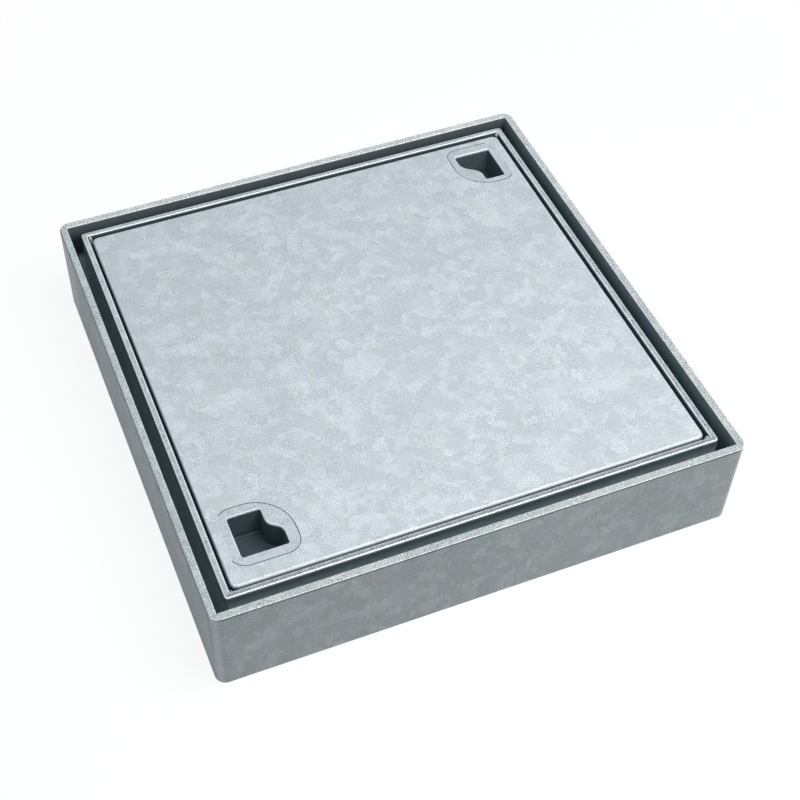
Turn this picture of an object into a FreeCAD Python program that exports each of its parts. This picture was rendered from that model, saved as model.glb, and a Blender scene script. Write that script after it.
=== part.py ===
import FreeCAD, Part
import math
import os
from dataclasses import dataclass
from FreeCAD import BoundBox, Vector

# Recessed paving cover in hot-dip galvanised steel. A square surround stands round an open slot and
# a seat frame, and a lift-out cover pan rests in the seat on four seal strips. Lengths are in
# millimetres, +Z is up, and the origin is at the middle of the underside. Front is towards -Y.

# Surround: four mitred walls of flat bar, their outer corners ground round
SURROUND_WIDTH = 400.0
SURROUND_LENGTH = 400.0
SURROUND_HEIGHT = 80.0
WALL_THICKNESS = 6.0
WALL_CORNER_RADIUS = 8.0
WALL_EDGE_ROUNDING = 0.8

# Bottom flange: four mitred bars inside the walls, which leave the clear opening
FLANGE_WIDTH = 44.0
FLANGE_THICKNESS = 6.0
DRAIN_HOLE_DIAMETER = 6.0
DRAIN_HOLE_FROM_CORNER = 80.0

# Seat frame: mitred upright bars on the flange, a ledge inside them, and webs under the ledge
SLOT_WIDTH = 8.6
SEAT_WALL_THICKNESS = 5.0
SEAT_WALL_DROP = 1.5
SEAT_CORNER_RADIUS = 3.0
SEAT_EDGE_ROUNDING = 1.5
LEDGE_WIDTH = 25.0
LEDGE_THICKNESS = 5.0
WEB_THICKNESS = 5.0
WEB_FOOT = 16.0
WEB_SNIPE = 6.0
WEB_FROM_CORNER = 110.0

# Seal strips on the ledge, as thick as the resting cover leaves them
SEAL_WIDTH = 14.0
SEAL_THICKNESS = 3.0
SEAL_SETBACK = 0.5

# Cover pan: one sheet folded down on four sides
COVER_GAP = 1.6
COVER_DROP = 2.5
COVER_HEIGHT = 27.5
COVER_SHEET = 2.0
COVER_BEND_INSIDE = 1.0
COVER_CORNER_RADIUS = 6.0

# Stiffeners: folded channels under the cover sheet, open side up
STIFFENER_WIDTH = 40.0
STIFFENER_RISE = 3.0
STIFFENER_SHEET = 3.0
STIFFENER_BEND_INSIDE = 2.0
STIFFENER_END_CLEARANCE = 0.5

# Key pocket: a cast cup whose flange lies flush in a cut-out of the cover sheet
POCKET_RISE = 1.0
POCKET_WALL = 2.5
POCKET_FLOOR = 2.5
POCKET_DRAFT = 0.6
POCKET_CORNER_RADIUS = 1.5
POCKET_FLOOR_RADIUS = 1.5
POCKET_LAP = 2.0
POCKET_LAP_THICKNESS = 2.5
POCKET_SEAM = 0.3
POCKET_SEAM_ROUNDING = 0.35
TONGUE_SHOULDER = 20.4


@dataclass(frozen=True)
class Pocket:
    """What one key pocket has of its own, placed from the cover's corner that it stands in."""

    # The flange, whose corner over the tongue is rounded more than the other three
    flange_from_side: float
    flange_from_end: float
    flange_width: float
    flange_length: float
    flange_radius: float
    flange_tongue_radius: float

    # The mouth, a rectangle before the tongue takes one corner
    mouth_from_side: float
    mouth_from_end: float
    mouth_width: float
    mouth_length: float
    mouth_rounding: float

    # The tongue: its width, how far its nose reaches into the mouth, and the two arcs of its S
    tongue_width: float
    tongue_nose: float
    tongue_root_radius: float
    tongue_nose_radius: float


FRONT_POCKET = Pocket(
    flange_from_side=7.0,
    flange_from_end=14.1,
    flange_width=50.1,
    flange_length=49.2,
    flange_radius=11.5,
    flange_tongue_radius=30.0,
    mouth_from_side=14.6,
    mouth_from_end=21.7,
    mouth_width=34.1,
    mouth_length=34.2,
    mouth_rounding=1.1,
    tongue_width=9.8,
    tongue_nose=13.4,
    tongue_root_radius=8.5,
    tongue_nose_radius=7.5,
)

BACK_POCKET = Pocket(
    flange_from_side=7.3,
    flange_from_end=7.0,
    flange_width=44.1,
    flange_length=47.6,
    flange_radius=9.0,
    flange_tongue_radius=27.0,
    mouth_from_side=14.4,
    mouth_from_end=15.1,
    mouth_width=30.9,
    mouth_length=33.8,
    mouth_rounding=1.6,
    tongue_width=14.0,
    tongue_nose=10.7,
    tongue_root_radius=11.0,
    tongue_nose_radius=10.0,
)

POCKETS = {"front": FRONT_POCKET, "back": BACK_POCKET}

# Heights that follow from the stack: seat wall, cover, seal, ledge
SEAT_WALL_TOP = SURROUND_HEIGHT - SEAT_WALL_DROP
COVER_TOP = SURROUND_HEIGHT - COVER_DROP
COVER_UNDERSIDE = COVER_TOP - COVER_SHEET
COVER_FOOT = COVER_TOP - COVER_HEIGHT
STIFFENER_FOOT = COVER_FOOT + STIFFENER_RISE
POCKET_FOOT = COVER_FOOT + POCKET_RISE
POCKET_DEPTH = COVER_TOP - POCKET_FOOT - POCKET_FLOOR
LEDGE_TOP = COVER_FOOT - SEAL_THICKNESS
LEDGE_UNDERSIDE = LEDGE_TOP - LEDGE_THICKNESS

# Insets of each ring from the outside of the surround
SEAT_INSET = WALL_THICKNESS + SLOT_WIDTH
LEDGE_INSET = SEAT_INSET + SEAT_WALL_THICKNESS
COVER_INSET = LEDGE_INSET + COVER_GAP
COVER_INSIDE_INSET = COVER_INSET + COVER_SHEET

SIDES = ("front", "right", "back", "left")
STIFFENERS = ("left", "middle", "right")
TOLERANCE = 0.001


def turned(shape, side):
    """Turn a shape drawn for the front side round to another side."""
    return shape.rotated(Vector(), Vector(0, 0, 1), 90.0 * SIDES.index(side))


def side_half_length(side):
    """Half the length of the surround along a side."""
    return (SURROUND_WIDTH if side in ("front", "back") else SURROUND_LENGTH) / 2.0


def side_reach(side):
    """The distance from the middle of the surround to the outside of a side."""
    return (SURROUND_LENGTH if side in ("front", "back") else SURROUND_WIDTH) / 2.0


def block(inset, bottom, top, corner_radius=0.0):
    """A block as large as the surround less an inset on every side, its corners rounded."""
    width = SURROUND_WIDTH - 2.0 * inset
    length = SURROUND_LENGTH - 2.0 * inset
    body = Part.makeBox(width, length, top - bottom, Vector(-width / 2.0, -length / 2.0, bottom))
    if corner_radius > 0.0:
        body = body.makeFillet(corner_radius, upright_edges(body))
    return body


def upright_edges(shape):
    """The edges of a box that run along Z."""
    return [edge for edge in shape.Edges if edge.BoundBox.ZLength > TOLERANCE]


def level_edges(shape, height, bounds=None):
    """The edges of a shape that lie at one height, and within bounds where those are given."""
    edges = [edge for edge in shape.Edges
             if abs(edge.BoundBox.ZMin - height) < TOLERANCE
             and abs(edge.BoundBox.ZMax - height) < TOLERANCE]
    if bounds:
        bounds.enlarge(TOLERANCE)
        edges = [edge for edge in edges if bounds.isInside(edge.BoundBox)]
    return edges


def ring(inset, thickness, bottom, top, corner_radius=0.0, rounding=0.0):
    """A square ring with rounded outside corners, and with rounded top edges where asked."""
    body = block(inset, bottom, top, corner_radius).cut(block(inset + thickness, bottom, top))
    if rounding > 0.0:
        body = body.makeFillet(rounding, level_edges(body, top))
    return body


def mitred(body, inset, thickness):
    """Cut a ring along its 45 degree mitres into one bar for each side."""
    half_width = SURROUND_WIDTH / 2.0 - inset
    half_length = SURROUND_LENGTH / 2.0 - inset
    corners = ((-1, -1), (1, -1), (1, 1), (-1, 1))
    outer = [Vector(x * half_width, y * half_length) for x, y in corners]
    inner = [Vector(x * (half_width - thickness), y * (half_length - thickness))
             for x, y in corners]
    bars = {}
    for number, side in enumerate(SIDES):
        after = (number + 1) % len(SIDES)
        outline = Part.makePolygon([outer[number], outer[after], inner[after], inner[number],
                                    outer[number]])
        wedge = Part.Face(outline).extrude(Vector(0, 0, SURROUND_HEIGHT))
        bars[side] = body.common(wedge).Solids[0]
    return bars


def surround_walls():
    """The four outer walls, ground round at the corners after welding."""
    walls = ring(0.0, WALL_THICKNESS, 0.0, SURROUND_HEIGHT, WALL_CORNER_RADIUS,
                 WALL_EDGE_ROUNDING)
    return mitred(walls, 0.0, WALL_THICKNESS)


def flange_bars():
    """The four bars of the bottom flange, with drain holes under the slot."""
    bars = mitred(ring(WALL_THICKNESS, FLANGE_WIDTH, 0.0, FLANGE_THICKNESS),
                  WALL_THICKNESS, FLANGE_WIDTH)
    for side in SIDES:
        across = WALL_THICKNESS + SLOT_WIDTH / 2.0 - side_reach(side)
        along = side_half_length(side) - DRAIN_HOLE_FROM_CORNER
        for place in (-along, along):
            hole = Part.makeCylinder(DRAIN_HOLE_DIAMETER / 2.0, FLANGE_THICKNESS,
                                     Vector(place, across, 0))
            bars[side] = bars[side].cut(turned(hole, side))
    return bars


def seat_walls():
    """The four upright bars whose tops make the lip inside the slot."""
    walls = ring(SEAT_INSET, SEAT_WALL_THICKNESS, FLANGE_THICKNESS, SEAT_WALL_TOP,
                 SEAT_CORNER_RADIUS, SEAT_EDGE_ROUNDING)
    return mitred(walls, SEAT_INSET, SEAT_WALL_THICKNESS)


def seat_ledges():
    """The four bars of the ledge that carries the cover."""
    return mitred(ring(LEDGE_INSET, LEDGE_WIDTH, LEDGE_UNDERSIDE, LEDGE_TOP),
                  LEDGE_INSET, LEDGE_WIDTH)


def seat_web(side, place):
    """One web between flange and ledge, with its corners cut clear of the welds."""
    start = LEDGE_INSET - side_reach(side)
    outline = [Vector(place, start + WEB_SNIPE, FLANGE_THICKNESS),
               Vector(place, start + WEB_FOOT, FLANGE_THICKNESS),
               Vector(place, start + LEDGE_WIDTH, LEDGE_UNDERSIDE - WEB_SNIPE),
               Vector(place, start + LEDGE_WIDTH, LEDGE_UNDERSIDE),
               Vector(place, start, LEDGE_UNDERSIDE),
               Vector(place, start, FLANGE_THICKNESS + WEB_SNIPE)]
    web = Part.Face(Part.makePolygon(outline + outline[:1])).extrude(Vector(WEB_THICKNESS, 0, 0))
    web.translate(Vector(-WEB_THICKNESS / 2.0, 0, 0))
    return turned(web, side)


def seat_webs():
    """Two webs on each side, each named for its side and for the side that it is nearer to."""
    webs = {}
    for number, side in enumerate(SIDES):
        along = side_half_length(side) - WEB_FROM_CORNER
        webs[f"{side}_{SIDES[number - 1]}"] = seat_web(side, -along)
        webs[f"{side}_{SIDES[(number + 1) % len(SIDES)]}"] = seat_web(side, along)
    return webs


def seal_strips():
    """The four seal strips on the ledge, under the cover's folded sides."""
    inset = LEDGE_INSET + SEAL_SETBACK
    return mitred(ring(inset, SEAL_WIDTH, LEDGE_TOP, COVER_FOOT), inset, SEAL_WIDTH)


def pan_block(inset, top, corner_radius, bend_radius):
    """A block from the cover's foot up, with rounded corners and rounded top edges."""
    body = block(inset, COVER_FOOT, top, corner_radius)
    return body.makeFillet(bend_radius, level_edges(body, top))


def cover_pan():
    """The cover sheet, folded down on four sides and cut out for the key pockets."""
    pan = pan_block(COVER_INSET, COVER_TOP, COVER_CORNER_RADIUS, COVER_BEND_INSIDE + COVER_SHEET)
    pan = pan.cut(pan_block(COVER_INSIDE_INSET, COVER_UNDERSIDE,
                            COVER_CORNER_RADIUS - COVER_SHEET, COVER_BEND_INSIDE))
    for place, pocket in POCKETS.items():
        hole = turned(slab(flange_outline(pocket, -POCKET_SEAM), COVER_UNDERSIDE, COVER_TOP), place)
        pan = pan.cut(hole)
        pan = pan.makeFillet(POCKET_SEAM_ROUNDING, level_edges(pan, COVER_TOP, hole.BoundBox))
    return pan


def stiffeners():
    """Three folded channels, evenly spaced between the key pockets' laps."""
    pocket_reach = max(pocket.flange_from_side + pocket.flange_width for pocket in POCKETS.values())
    room = SURROUND_WIDTH - 2.0 * (COVER_INSET + pocket_reach + POCKET_LAP)
    pitch = room / len(STIFFENERS)
    return {name: stiffener((number - (len(STIFFENERS) - 1) / 2.0) * pitch)
            for number, name in enumerate(STIFFENERS)}


def stiffener(place):
    """One folded channel, which closes to a box under the cover sheet."""
    channel = folded_block(place, 0.0, STIFFENER_BEND_INSIDE + STIFFENER_SHEET)
    return channel.cut(folded_block(place, STIFFENER_SHEET, STIFFENER_BEND_INSIDE))


def folded_block(place, inset, bend_radius):
    """A bar up to the cover sheet whose two bottom edges are rounded as a fold is."""
    half_length = (SURROUND_LENGTH / 2.0 - COVER_INSIDE_INSET - COVER_BEND_INSIDE
                   - STIFFENER_END_CLEARANCE)
    width = STIFFENER_WIDTH - 2.0 * inset
    bottom = STIFFENER_FOOT + inset
    body = Part.makeBox(width, 2.0 * half_length, COVER_UNDERSIDE - bottom,
                        Vector(place - width / 2.0, -half_length, bottom))
    folds = [edge for edge in level_edges(body, bottom) if edge.BoundBox.YLength > half_length]
    return body.makeFillet(bend_radius, folds)


def moved_in(outline, inset):
    """Move the sides of an anticlockwise outline inwards, with each corner's radius to match."""
    moved = []
    for number, (point, radius) in enumerate(outline):
        arriving = (point - outline[number - 1][0]).normalize()
        leaving = (outline[(number + 1) % len(outline)][0] - point).normalize()
        normals = Vector(-arriving.y, arriving.x) + Vector(-leaving.y, leaving.x)
        shift = normals * (inset / (1.0 + arriving.dot(leaving)))
        outward_corner = arriving.cross(leaving).z > 0.0
        moved.append((point + shift, radius - inset if outward_corner else radius + inset))
    return moved


def rounded_wire(outline, height):
    """A closed wire through an outline's points, with an arc at each corner."""
    arcs = []
    for number, (point, radius) in enumerate(outline):
        before = (outline[number - 1][0] - point).normalize()
        after = (outline[(number + 1) % len(outline)][0] - point).normalize()
        half_angle = before.getAngle(after) / 2.0
        reach = radius / math.tan(half_angle)
        towards_centre = (before + after).normalize()
        crown = point + towards_centre * (radius / math.sin(half_angle) - radius)
        arcs.append([corner + Vector(0, 0, height)
                     for corner in (point + before * reach, crown, point + after * reach)])
    edges = []
    for number, (start, crown, end) in enumerate(arcs):
        edges.append(Part.Arc(start, crown, end).toShape())
        edges.append(Part.LineSegment(end, arcs[(number + 1) % len(arcs)][0]).toShape())
    return Part.Wire(edges)


def slab(outline, bottom, top):
    """A flat plate with an outline."""
    return Part.Face(rounded_wire(outline, bottom)).extrude(Vector(0, 0, top - bottom))


def cover_corner(from_side, from_end):
    """A point that lies in from the cover's front left corner."""
    return Vector(COVER_INSET + from_side - SURROUND_WIDTH / 2.0,
                  COVER_INSET + from_end - SURROUND_LENGTH / 2.0)


def flange_outline(pocket, inset):
    """The flange's outline, broadly rounded at the corner where the tongue is."""
    near = cover_corner(pocket.flange_from_side, pocket.flange_from_end)
    far = near + Vector(pocket.flange_width, pocket.flange_length)
    outline = [(near, pocket.flange_radius),
               (Vector(far.x, near.y), pocket.flange_radius),
               (far, pocket.flange_tongue_radius),
               (Vector(near.x, far.y), pocket.flange_radius)]
    return moved_in(outline, inset)


def mouth_outline(pocket, inset):
    """The mouth's outline, a rectangle whose inner corner the S-shaped tongue fills."""
    near = cover_corner(pocket.mouth_from_side, pocket.mouth_from_end)
    far = near + Vector(pocket.mouth_width, pocket.mouth_length)
    outline = [(near, POCKET_CORNER_RADIUS),
               (Vector(far.x, near.y), POCKET_CORNER_RADIUS),
               (Vector(far.x, far.y - TONGUE_SHOULDER), pocket.tongue_root_radius),
               (Vector(far.x - pocket.tongue_width, far.y - pocket.tongue_nose),
                pocket.tongue_nose_radius),
               (Vector(far.x - pocket.tongue_width, far.y), POCKET_CORNER_RADIUS),
               (Vector(near.x, far.y), POCKET_CORNER_RADIUS)]
    return moved_in(outline, inset)


def cup(pocket, wall, bottom):
    """The space or the outside of a key pocket's cup, which narrows downwards for casting."""
    draft = POCKET_DRAFT * (COVER_TOP - bottom) / POCKET_DEPTH
    return Part.makeLoft([rounded_wire(mouth_outline(pocket, draft - wall), bottom),
                          rounded_wire(mouth_outline(pocket, -wall), COVER_TOP)], True, True)


def pocket_flange(pocket):
    """The flange that lies flush in the sheet, its top edge rounded along the seam."""
    flange = slab(flange_outline(pocket, 0.0), COVER_UNDERSIDE, COVER_TOP)
    return flange.makeFillet(POCKET_SEAM_ROUNDING, level_edges(flange, COVER_TOP))


def key_pocket(place, pocket):
    """One cast key pocket: flush flange, lap under the sheet, and the cup with its tongue."""
    floor = POCKET_FOOT + POCKET_FLOOR
    space = cup(pocket, 0.0, floor)
    space = space.makeFillet(POCKET_FLOOR_RADIUS, level_edges(space, floor))
    body = cup(pocket, POCKET_WALL, POCKET_FOOT)
    body = body.makeFillet(POCKET_FLOOR_RADIUS, level_edges(body, POCKET_FOOT))
    body = body.fuse(pocket_flange(pocket))
    body = body.fuse(slab(flange_outline(pocket, -POCKET_LAP),
                          COVER_UNDERSIDE - POCKET_LAP_THICKNESS, COVER_UNDERSIDE))
    body = body.cut(space).removeSplitter()
    mouth = level_edges(body, COVER_TOP, mouth_bounds(pocket))
    return turned(body.makeFillet(pocket.mouth_rounding, mouth), place)


def mouth_bounds(pocket):
    """The bounds of the mouth at the flange's top."""
    near = cover_corner(pocket.mouth_from_side, pocket.mouth_from_end)
    return BoundBox(near.x, near.y, COVER_TOP, near.x + pocket.mouth_width,
                    near.y + pocket.mouth_length, COVER_TOP)


def build():
    """Every piece of the cover, by the name of its node."""
    groups = {"surround": surround_walls(), "flange": flange_bars(), "seat_wall": seat_walls(),
              "seat_ledge": seat_ledges(), "seat_web": seat_webs(), "seal": seal_strips(),
              "cover": {"pan": cover_pan()},
              "cover_stiffener": stiffeners(),
              "key_pocket": {place: key_pocket(place, pocket)
                             for place, pocket in POCKETS.items()}}
    return {f"{group}_{name}": shape
            for group, shapes in groups.items() for name, shape in shapes.items()}


if __name__ == "__main__":
    os.makedirs("parts", exist_ok=True)
    for node, shape in build().items():
        shape.exportStep(f"parts/{node}.step")
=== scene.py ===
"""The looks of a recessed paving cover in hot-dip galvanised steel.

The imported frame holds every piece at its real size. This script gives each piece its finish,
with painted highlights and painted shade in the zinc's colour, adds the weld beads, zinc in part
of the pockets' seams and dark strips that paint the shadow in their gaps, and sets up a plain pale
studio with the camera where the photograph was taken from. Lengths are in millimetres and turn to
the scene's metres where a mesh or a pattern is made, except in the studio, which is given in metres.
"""
import logging
import math
import random
from dataclasses import dataclass, field, replace
from enum import Enum
from functools import partial, reduce
from typing import Any, Iterable, Iterator, Mapping, Sequence

import bpy
from bpy.types import ID, Material, Node, NodeSocket, NodeTree, Object
from mathutils import Matrix, Vector


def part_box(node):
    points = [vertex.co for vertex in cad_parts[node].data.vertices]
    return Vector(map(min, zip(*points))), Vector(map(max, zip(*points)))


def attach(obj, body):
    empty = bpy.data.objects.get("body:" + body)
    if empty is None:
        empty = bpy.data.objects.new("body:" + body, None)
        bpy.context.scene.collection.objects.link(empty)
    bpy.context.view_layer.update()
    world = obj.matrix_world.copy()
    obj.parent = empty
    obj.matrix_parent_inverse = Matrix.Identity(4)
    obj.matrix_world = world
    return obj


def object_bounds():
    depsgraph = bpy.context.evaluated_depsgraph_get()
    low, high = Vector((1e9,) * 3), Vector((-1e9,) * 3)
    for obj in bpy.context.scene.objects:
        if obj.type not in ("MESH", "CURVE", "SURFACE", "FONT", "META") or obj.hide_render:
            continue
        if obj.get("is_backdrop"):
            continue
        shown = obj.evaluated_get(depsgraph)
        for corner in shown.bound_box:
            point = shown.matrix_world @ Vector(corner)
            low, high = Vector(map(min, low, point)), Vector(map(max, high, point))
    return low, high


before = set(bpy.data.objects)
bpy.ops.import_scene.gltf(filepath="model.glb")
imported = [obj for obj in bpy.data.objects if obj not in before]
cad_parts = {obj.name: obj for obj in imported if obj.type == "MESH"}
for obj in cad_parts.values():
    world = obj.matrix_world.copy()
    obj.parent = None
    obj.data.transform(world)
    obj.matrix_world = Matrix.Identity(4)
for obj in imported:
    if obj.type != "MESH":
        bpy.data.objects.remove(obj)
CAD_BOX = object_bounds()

LOG = logging.getLogger("paving_cover")
MM = 0.001
BODY = "root"
UP = Vector((0.0, 0.0, 1.0))
INWARD = Vector((0.0, 1.0, 0.0))
RIGHTWARD = Vector((1.0, 0.0, 0.0))
QUARTER = 90.0
ROUND = 4.0 * QUARTER
SMOOTH = "SMOOTHSTEP"
HALVES = (0.5, 0.5, 0.5)
WHITE = "#FFFFFF"

# Upward shares of a face's normal: where a look starts, and where it is full.
LEVEL = (0.5, 1.0)
GROUND_TOP = (0.8, 0.98)
BELOW_FLAT = (0.995, 0.95)
ABOVE_UPRIGHT = (0.35, 0.7)

Colour = tuple[float, float, float, float]

# A weld's start and end, and the ways in which its two faces lead away from it.
Bead = tuple[Vector, Vector, Vector, Vector]


class Slot(Enum):
    """The record's material slots, one of which each added piece is passed."""

    OUTER_FRAME = "outer_frame"
    SEAT_FRAME = "seat_frame"
    COVER_SHEET = "cover_sheet"
    POCKET_CASTING = "pocket_casting"


class Side(Enum):
    """The four sides, each with the number of quarter turns from the front."""

    FRONT = 0
    RIGHT = 1
    BACK = 2
    LEFT = 3

    @property
    def word(self) -> str:
        """The side's name as the nodes spell it."""
        return self.name.lower()

    @property
    def turn(self) -> Matrix:
        """The turn from the front side to this one."""
        return Matrix.Rotation(math.radians(QUARTER * self.value), 3, "Z")


def linear(colour: str) -> Colour:
    """Turn an sRGB hex colour to linear light.

    Args:
        colour: Six hex digits after a hash sign.

    Returns:
        Red, green, blue and a full alpha, in linear light.
    """
    parts = [int(colour[place:place + 2], 16) / 255.0 for place in (1, 3, 5)]
    red, green, blue = (part / 12.92 if part <= 0.04045 else ((part + 0.055) / 1.055) ** 2.4
                        for part in parts)
    return red, green, blue, 1.0


def connect(tree: NodeTree, node: Node, inputs: Mapping[str | int, Any]) -> None:
    """Link or set the inputs of a node.

    Args:
        tree: The node's tree.
        node: The node.
        inputs: A socket to link, or a number, vector or hex colour to set, by name or number.
    """
    for place, source in inputs.items():
        if isinstance(source, NodeSocket):
            tree.links.new(source, node.inputs[place])
        else:
            constant = linear(source) if isinstance(source, str) else source
            node.inputs[place].default_value = constant


def add_node(tree: NodeTree, kind: str, settings: Mapping[str, Any] | None = None,
             inputs: Mapping[str | int, Any] | None = None) -> Node:
    """Add a node with its settings and links.

    Args:
        tree: The tree that the node goes into.
        kind: The node's class, without the word that all shader nodes start with.
        settings: Properties of the node, by name.
        inputs: What goes into the node, as connect() has it.

    Returns:
        The new node.
    """
    node = tree.nodes.new("ShaderNode" + kind)
    for name, value in (settings or {}).items():
        setattr(node, name, value)
    connect(tree, node, inputs or {})
    return node


def per_metre(size: float) -> float:
    """The scale of a pattern whose features are a given number of millimetres across."""
    return 1.0 / (size * MM)


@dataclass(frozen=True)
class Graph:
    """Short forms for the nodes that the finishes are made of; each adds its nodes to the tree.

    An input is a socket or a constant. Positions and lengths inside the tree are in metres.
    """

    tree: NodeTree

    def take(self, kind: str, output: str | int = 0, settings: Mapping[str, Any] | None = None,
             inputs: Mapping[str | int, Any] | None = None) -> NodeSocket:
        """Add a node and take one of its outputs."""
        return add_node(self.tree, kind, settings, inputs).outputs[output]

    def place(self) -> NodeSocket:
        """The position in the object's own space."""
        return self.take("TexCoord", "Object")

    def normal(self) -> NodeSocket:
        """The surface's normal."""
        return self.take("NewGeometry", "Normal")

    def axis(self, vector: NodeSocket, name: str) -> NodeSocket:
        """One axis of a vector."""
        return self.take("SeparateXYZ", name, inputs={0: vector})

    def channel(self, colour: NodeSocket, name: str) -> NodeSocket:
        """One channel of a colour."""
        return self.take("SeparateColor", name, inputs={0: colour})

    def math(self, operation: str, *values: Any) -> NodeSocket:
        """The result of an operation on numbers."""
        return self.take("Math", 0, {"operation": operation}, dict(enumerate(values)))

    def vector(self, operation: str, *values: Any, output: str = "Vector") -> NodeSocket:
        """The result of an operation on vectors."""
        return self.take("VectorMath", output, {"operation": operation}, dict(enumerate(values)))

    def product(self, *factors: Any) -> NodeSocket:
        """The product of two or more numbers."""
        return reduce(partial(self.math, "MULTIPLY"), factors)

    def distance(self, value: NodeSocket, middle: Any) -> NodeSocket:
        """How far a number is from a middle one."""
        return self.math("ABSOLUTE", self.math("SUBTRACT", value, middle))

    def scaled(self, vector: Any, factor: Any) -> NodeSocket:
        """A vector or a colour times a number."""
        return self.take("VectorMath", 0, {"operation": "SCALE"}, {0: vector, "Scale": factor})

    def nudged(self, vector: NodeSocket, colour: NodeSocket, reach: float) -> NodeSocket:
        """A vector moved by a random colour, by up to half of a reach either way."""
        return self.vector("MULTIPLY_ADD", self.vector("SUBTRACT", colour, HALVES), (reach,) * 3,
                           vector)

    def mix(self, factor: Any, first: Any, second: Any, blend: str = "MIX") -> NodeSocket:
        """A second colour laid over a first one by a factor."""
        return self.take("Mix", "Result", {"data_type": "RGBA", "blend_type": blend},
                         {"Factor": factor, "A": first, "B": second})

    def ramp(self, value: NodeSocket, low: float = 0.0, high: float = 1.0, least: float = 0.0,
             most: float = 1.0, ease: str = "LINEAR") -> NodeSocket:
        """A value led from low and high to least and most, and held beyond; high may be the lower."""
        return self.take("MapRange", 0, {"interpolation_type": ease}, {
            "Value": value, "From Min": low, "From Max": high, "To Min": least, "To Max": most})

    def within(self, value: NodeSocket, none: float, full: float, ease: str = SMOOTH) -> NodeSocket:
        """How far a length has come from a mark for none to one for full, in millimetres."""
        return self.ramp(value, none * MM, full * MM, ease=ease)

    def noise(self, size: float, detail: float = 2.0, roughness: float = 0.5,
              place: NodeSocket | None = None, output: str = "Fac") -> NodeSocket:
        """A cloudy pattern about one half, with features of a size in millimetres."""
        inputs = {"Vector": self.place() if place is None else place, "Scale": per_metre(size)}
        return self.take("TexNoise", output, None, inputs | {
            "Detail": detail, "Roughness": roughness})

    def cells(self, size: float, place: NodeSocket) -> NodeSocket:
        """A random colour for each cell of a pattern, with cells of a size in millimetres."""
        return self.take("TexVoronoi", "Color", {"feature": "F1"},
                         {"Vector": place, "Scale": per_metre(size)})

    def bump(self, height: NodeSocket, depth: float, normal: NodeSocket) -> NodeSocket:
        """The normal of a relief that is a given number of millimetres deep."""
        return self.take("Bump", 0, None, {
            "Distance": depth * MM, "Height": height, "Normal": normal})

    def facing_up(self, none: float, full: float) -> NodeSocket:
        """How far a face looks up, from the normal's upward share that gives zero to that for one."""
        return self.ramp(self.axis(self.normal(), "Z"), none, full)

    def side_inset(self, axis: int) -> NodeSocket:
        """How far a point lies in from the surround's nearer side, across one axis."""
        away = self.math("ABSOLUTE", self.axis(self.place(), "XYZ"[axis]))
        return self.math("SUBTRACT", (CAD_BOX[1] - CAD_BOX[0])[axis] / 2.0, away)

    def ring_inset(self) -> NodeSocket:
        """How far a point lies in from the nearest side of the surround."""
        return self.math("MINIMUM", self.side_inset(0), self.side_inset(1))

    def seen_directly(self) -> NodeSocket:
        """One for camera, mirrored and refracted rays, which show the background, else zero."""
        rays = add_node(self.tree, "LightPath").outputs
        return reduce(partial(self.math, "MAXIMUM"), (
            rays["Is Camera Ray"], rays["Is Glossy Ray"], rays["Is Transmission Ray"]))

    def show(self, kind: str, factor: NodeSocket, lit: NodeSocket, white: NodeSocket) -> None:
        """Add the output: what is lit, with the background's white laid over it by a factor."""
        mixed = self.take("MixShader", inputs={0: factor, 1: lit, 2: white})
        add_node(self.tree, kind, inputs={"Surface": mixed})

    def line_distance(self, line: tuple[float, float]) -> NodeSocket:
        """How far a point is from an upright line, which is given in millimetres."""
        flat = self.vector("MULTIPLY", self.place(), (1.0, 1.0, 0.0))
        return self.vector("DISTANCE", flat, (line[0] * MM, line[1] * MM, 0.0), output="Value")


def new_material(name: str) -> tuple[Material, Graph, Node]:
    """Start a material.

    Args:
        name: Its real material and process.

    Returns:
        The material, its nodes and its shader.
    """
    material = bpy.data.materials.new(name)
    material.use_nodes = True
    tree = material.node_tree
    return material, Graph(tree), tree.nodes["Principled BSDF"]


@dataclass(frozen=True)
class PaintedLightZone:
    """A zone whose colour is painted light: its dark tones paint shade and its pale ones paint light.

    It lies below a height and above the open underside. Where insets from the outside of the
    surround are given, it starts at one and ends at the other. Where a reach is given, the zone
    lies round an upright line, and fades out at that distance from it. Heights are above the floor.
    """

    colour: str
    top: float
    fade: float
    foot: float = 2.0
    inset: float = 0.0
    end: float = 0.0
    inset_fade: float = 0.5
    line: tuple[float, float] = (0.0, 0.0)
    reach: float = 0.0
    core: float = 6.0
    share: float = 0.88

    def over(self, graph: Graph, colour: NodeSocket) -> NodeSocket:
        """Lay the zone's painted tone over a colour, which still shows through a little."""
        return graph.mix(graph.product(self.mask(graph), self.share), colour, self.colour)

    def mask(self, graph: Graph) -> NodeSocket:
        """Find the zone.

        Args:
            graph: The material's nodes.

        Returns:
            A value that is one in the zone and zero on the open faces.
        """
        height, inset = graph.axis(graph.place(), "Z"), graph.ring_inset()
        limits = [(height, self.top, self.top - self.fade), (height, 0.0, self.foot)]
        if self.inset:
            limits.append((inset, self.inset - self.inset_fade, self.inset))
        if self.end:
            limits.append((inset, self.end + self.inset_fade, self.end))
        if self.reach:
            limits.append((graph.line_distance(self.line), self.reach, self.core))
        return graph.product(*(graph.within(*limit) for limit in limits))


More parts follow.
